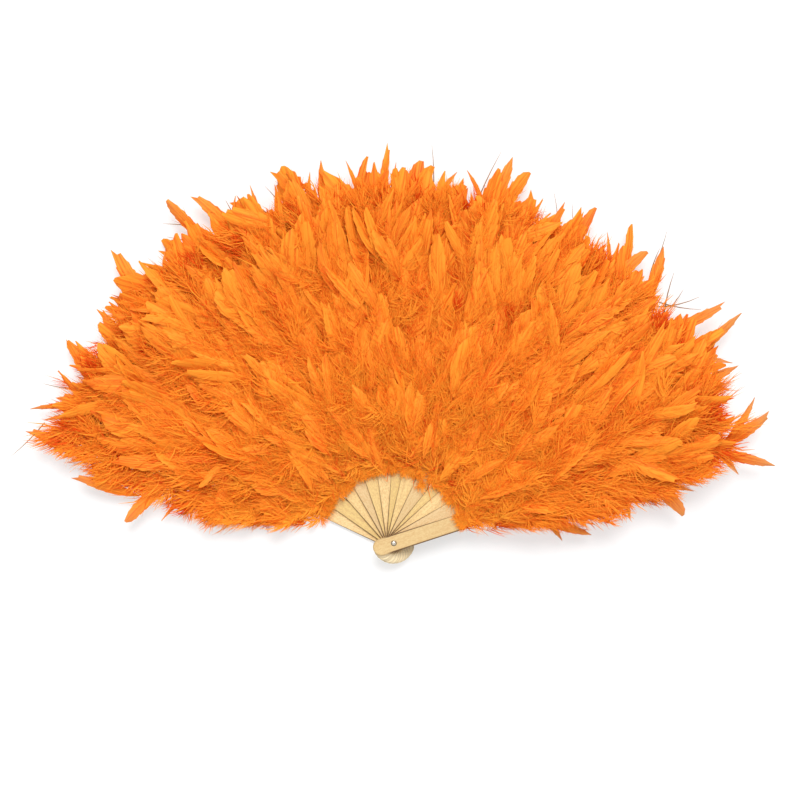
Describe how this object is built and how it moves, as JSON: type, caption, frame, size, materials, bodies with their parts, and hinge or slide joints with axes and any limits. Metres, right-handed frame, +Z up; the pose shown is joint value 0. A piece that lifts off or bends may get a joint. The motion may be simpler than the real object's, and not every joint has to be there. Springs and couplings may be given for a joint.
{
  "type": "folding feather fan",
  "caption": "Folding hand fan of flat bamboo staves on a rivet, each carrying dyed down and plume feathers, shown open and lying flat.",
  "frame": {"origin": "foot of the rivet, on the rivet's axis: the flat end of its peened foot, on which the open fan lies", "axes": "+Z up along the rivet's axis, out of the front guard; +Y away from the holder, along the middle of the open fan; +X to the right, towards the front guard"},
  "size_m": [0.647, 0.3576, 0.0392],
  "materials": {
    "stave_bamboo": "planed bamboo, pale cream, fine straight grain",
    "guard_bamboo": "planed bamboo, slightly tanner, polished by handling",
    "plume": "dyed orange feather vanes, soft satin",
    "down": "dyed orange fluffy down",
    "thread": "dyed cotton thread",
    "rivet_metal": "nickel-plated, bright"
  },
  "bodies": {
    "rear_leaf": {"rear_guard": "guard_bamboo", "rivet": "rivet_metal", "rear_washer": "rivet_metal", "down_00": "down", "plume_00": "plume"},
    "leaf_01": {"stave_01": "stave_bamboo", "down_01": "down", "plume_01": "plume", "link_thread_01": "thread"},
    "leaf_02": {"stave_02": "stave_bamboo", "down_02": "down", "plume_02": "plume", "link_thread_02": "thread"},
    "leaf_03": {"stave_03": "stave_bamboo", "down_03": "down", "plume_03": "plume", "link_thread_03": "thread"},
    "leaf_04": {"stave_04": "stave_bamboo", "down_04": "down", "plume_04": "plume", "link_thread_04": "thread"},
    "leaf_05": {"stave_05": "stave_bamboo", "down_05": "down", "plume_05": "plume", "link_thread_05": "thread"},
    "leaf_06": {"stave_06": "stave_bamboo", "down_06": "down", "plume_06": "plume", "link_thread_06": "thread"},
    "leaf_07": {"stave_07": "stave_bamboo", "down_07": "down", "plume_07": "plume", "link_thread_07": "thread"},
    "leaf_08": {"stave_08": "stave_bamboo", "down_08": "down", "plume_08": "plume", "link_thread_08": "thread"},
    "leaf_09": {"stave_09": "stave_bamboo", "down_09": "down", "plume_09": "plume", "link_thread_09": "thread"},
    "leaf_10": {"stave_10": "stave_bamboo", "down_10": "down", "plume_10": "plume", "link_thread_10": "thread"},
    "leaf_11": {"stave_11": "stave_bamboo", "down_11": "down", "plume_11": "plume", "link_thread_11": "thread"},
    "front_leaf": {"front_guard": "guard_bamboo", "down_12": "down", "plume_12": "plume", "link_thread_12": "thread"}
  },
  "joints": [
    {"name": "leaf_01_fold", "type": "hinge", "parent": "rear_leaf", "child": "leaf_01", "pos_m": [0, 0, 0.00465], "axis": [0, 0, 1], "range_deg": [0, 10.18], "deforming": ["link_thread_01"]},
    {"name": "leaf_02_fold", "type": "hinge", "parent": "rear_leaf", "child": "leaf_02", "pos_m": [0, 0, 0.0062], "axis": [0, 0, 1], "range_deg": [0, 23.79], "deforming": ["link_thread_02"]},
    {"name": "leaf_03_fold", "type": "hinge", "parent": "rear_leaf", "child": "leaf_03", "pos_m": [0, 0, 0.00775], "axis": [0, 0, 1], "range_deg": [0, 34.92], "deforming": ["link_thread_03"]},
    {"name": "leaf_04_fold", "type": "hinge", "parent": "rear_leaf", "child": "leaf_04", "pos_m": [0, 0, 0.0093], "axis": [0, 0, 1], "range_deg": [0, 46.2], "deforming": ["link_thread_04"]},
    {"name": "leaf_05_fold", "type": "hinge", "parent": "rear_leaf", "child": "leaf_05", "pos_m": [0, 0, 0.01085], "axis": [0, 0, 1], "range_deg": [0, 57.48], "deforming": ["link_thread_05"]},
    {"name": "leaf_06_fold", "type": "hinge", "parent": "rear_leaf", "child": "leaf_06", "pos_m": [0, 0, 0.0124], "axis": [0, 0, 1], "range_deg": [0, 69.16], "deforming": ["link_thread_06"]},
    {"name": "leaf_07_fold", "type": "hinge", "parent": "rear_leaf", "child": "leaf_07", "pos_m": [0, 0, 0.01395], "axis": [0, 0, 1], "range_deg": [0, 78.1], "deforming": ["link_thread_07"]},
    {"name": "leaf_08_fold", "type": "hinge", "parent": "rear_leaf", "child": "leaf_08", "pos_m": [0, 0, 0.0155], "axis": [0, 0, 1], "range_deg": [0, 90.75], "deforming": ["link_thread_08"]},
    {"name": "leaf_09_fold", "type": "hinge", "parent": "rear_leaf", "child": "leaf_09", "pos_m": [0, 0, 0.01705], "axis": [0, 0, 1], "range_deg": [0, 104.36], "deforming": ["link_thread_09"]},
    {"name": "leaf_10_fold", "type": "hinge", "parent": "rear_leaf", "child": "leaf_10", "pos_m": [0, 0, 0.0186], "axis": [0, 0, 1], "range_deg": [0, 112.75], "deforming": ["link_thread_10"]},
    {"name": "leaf_11_fold", "type": "hinge", "parent": "rear_leaf", "child": "leaf_11", "pos_m": [0, 0, 0.02015], "axis": [0, 0, 1], "range_deg": [0, 124.85], "deforming": ["link_thread_11"]},
    {"name": "fan_fold", "type": "hinge", "parent": "rear_leaf", "child": "front_leaf", "pos_m": [0, 0, 0.0222], "axis": [0, 0, 1], "range_deg": [0, 137], "deforming": ["link_thread_12"]}
  ],
  "couplings": [
    {"joint": "leaf_01_fold", "follows": "fan_fold", "ratio": 0.074},
    {"joint": "leaf_02_fold", "follows": "fan_fold", "ratio": 0.173},
    {"joint": "leaf_03_fold", "follows": "fan_fold", "ratio": 0.254},
    {"joint": "leaf_04_fold", "follows": "fan_fold", "ratio": 0.336},
    {"joint": "leaf_05_fold", "follows": "fan_fold", "ratio": 0.418},
    {"joint": "leaf_06_fold", "follows": "fan_fold", "ratio": 0.503},
    {"joint": "leaf_07_fold", "follows": "fan_fold", "ratio": 0.568},
    {"joint": "leaf_08_fold", "follows": "fan_fold", "ratio": 0.66},
    {"joint": "leaf_09_fold", "follows": "fan_fold", "ratio": 0.759},
    {"joint": "leaf_10_fold", "follows": "fan_fold", "ratio": 0.82},
    {"joint": "leaf_11_fold", "follows": "fan_fold", "ratio": 0.908}
  ]
}
